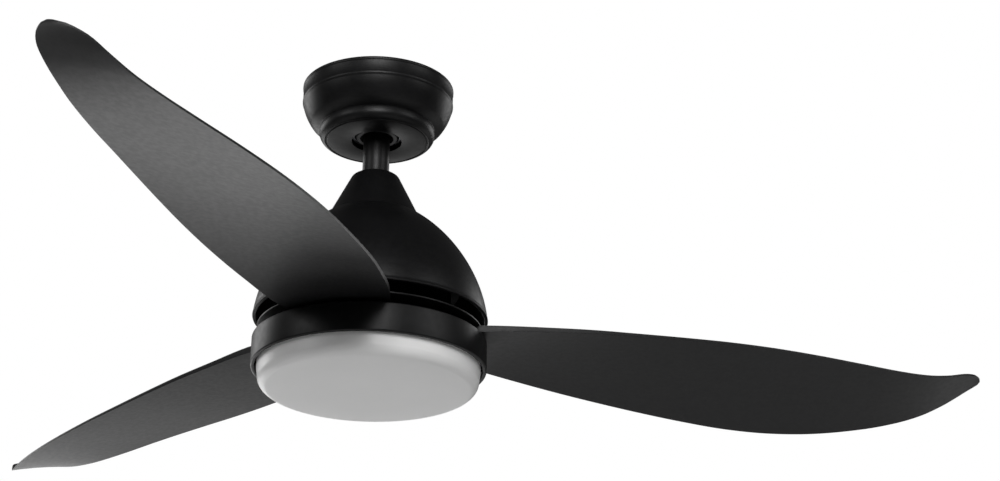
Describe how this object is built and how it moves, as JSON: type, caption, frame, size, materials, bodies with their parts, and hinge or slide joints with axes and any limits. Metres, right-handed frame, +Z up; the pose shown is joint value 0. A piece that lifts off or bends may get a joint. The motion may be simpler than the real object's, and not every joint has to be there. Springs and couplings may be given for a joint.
{
  "type": "ceiling fan with light",
  "caption": "Short-rod ceiling fan with curved twisting blades under a domed housing, a stepped round canopy and a flush round opal light below.",
  "frame": {"origin": "centre of the hanger bracket's face on the ceiling, on the fan's axis", "axes": "+Z up into the ceiling along the fan's axis; +X along the line of the bracket's two slots; the fan hangs down -Z"},
  "size_m": [0.9892, 1.0415, 0.306],
  "materials": {
    "black_paint": "satin powder coat",
    "blade_plastic": "fine satin moulding",
    "opal_plastic": "opal, satin",
    "zinc_steel": "zinc plated",
    "black_steel": "black oxide",
    "cast_zinc": "as cast",
    "cast_aluminium": "as cast",
    "lamination_steel": "bare laminations",
    "bearing_steel": "ground",
    "magnet": "ferrite",
    "copper_wire": "enamelled copper",
    "brass": "plain",
    "dark_plastic": "matte",
    "white_nylon": "matte",
    "white_board": "solder mask",
    "led_phosphor": "gloss",
    "cable_rubber": "matte"
  },
  "bodies": {
    "ceiling_mount": {"hanger_bracket": "zinc_steel", "ceiling_canopy": "black_paint", "canopy_screws": "black_steel", "canopy_trim_ring": "black_paint", "receiver_module": "dark_plastic", "terminal_block": "white_nylon", "earth_screw": "brass"},
    "swing_ball": {"hanger_ball": "dark_plastic", "ball_cross_pin": "zinc_steel"},
    "hanging": {"downrod": "black_paint", "rod_cable": "cable_rubber", "coupling_cover": "black_paint", "motor_yoke": "cast_zinc", "yoke_clevis_pin": "zinc_steel", "yoke_pin_clip": "zinc_steel", "yoke_set_screws": "zinc_steel", "motor_housing_dome": "black_paint", "dome_screws": "zinc_steel", "motor_shaft": "zinc_steel", "stator_core": "lamination_steel", "stator_windings": "copper_wire", "upper_bearing_inner_race": "bearing_steel", "lower_bearing_inner_race": "bearing_steel", "shaft_nuts": "zinc_steel", "light_mount_plate": "zinc_steel", "light_pan": "black_paint", "light_pan_screws": "zinc_steel", "led_driver": "white_nylon", "led_plate": "cast_aluminium", "led_plate_screws": "zinc_steel", "led_board": "white_board", "led_chips": "led_phosphor"},
    "rotor": {"rotor_upper_case": "black_paint", "rotor_lower_case": "black_paint", "rotor_magnets": "magnet", "rotor_iron_ring": "lamination_steel", "rotor_case_screws": "zinc_steel", "upper_bearing_outer_race": "bearing_steel", "lower_bearing_outer_race": "bearing_steel", "blade_carrier": "black_paint", "carrier_screws": "black_steel", "blade_nuts": "zinc_steel", "blade_screws": "black_steel", "blade_1": "blade_plastic", "blade_2": "blade_plastic", "blade_3": "blade_plastic"},
    "upper_ball_set": {"upper_bearing_balls": "bearing_steel", "upper_bearing_cage": "bearing_steel"},
    "lower_ball_set": {"lower_bearing_balls": "bearing_steel", "lower_bearing_cage": "bearing_steel"},
    "lens": {"diffuser": "opal_plastic"}
  },
  "joints": [
    {"name": "ball_swing", "type": "hinge", "parent": "ceiling_mount", "child": "swing_ball", "pos_m": [0, 0, -0.033], "axis": [1, 0, 0], "range_deg": [-12, 12]},
    {"name": "rod_swing", "type": "hinge", "parent": "swing_ball", "child": "hanging", "pos_m": [0, 0, -0.033], "axis": [0, 1, 0], "range_deg": [-8, 8]},
    {"name": "rotor_spin", "type": "hinge", "parent": "hanging", "child": "rotor", "pos_m": [0, 0, -0.249], "axis": [0, 0, 1], "continuous": true},
    {"name": "upper_cage_spin", "type": "hinge", "parent": "hanging", "child": "upper_ball_set", "pos_m": [0, 0, -0.171], "axis": [0, 0, 1], "continuous": true},
    {"name": "lower_cage_spin", "type": "hinge", "parent": "hanging", "child": "lower_ball_set", "pos_m": [0, 0, -0.243], "axis": [0, 0, 1], "continuous": true},
    {"name": "lens_twist", "type": "hinge", "parent": "hanging", "child": "lens", "pos_m": [0, 0, -0.28], "axis": [0, 0, 1], "range_deg": [-20, 0]}
  ],
  "couplings": [
    {"joint": "upper_cage_spin", "follows": "rotor_spin", "ratio": 0.6},
    {"joint": "lower_cage_spin", "follows": "rotor_spin", "ratio": 0.6}
  ]
}
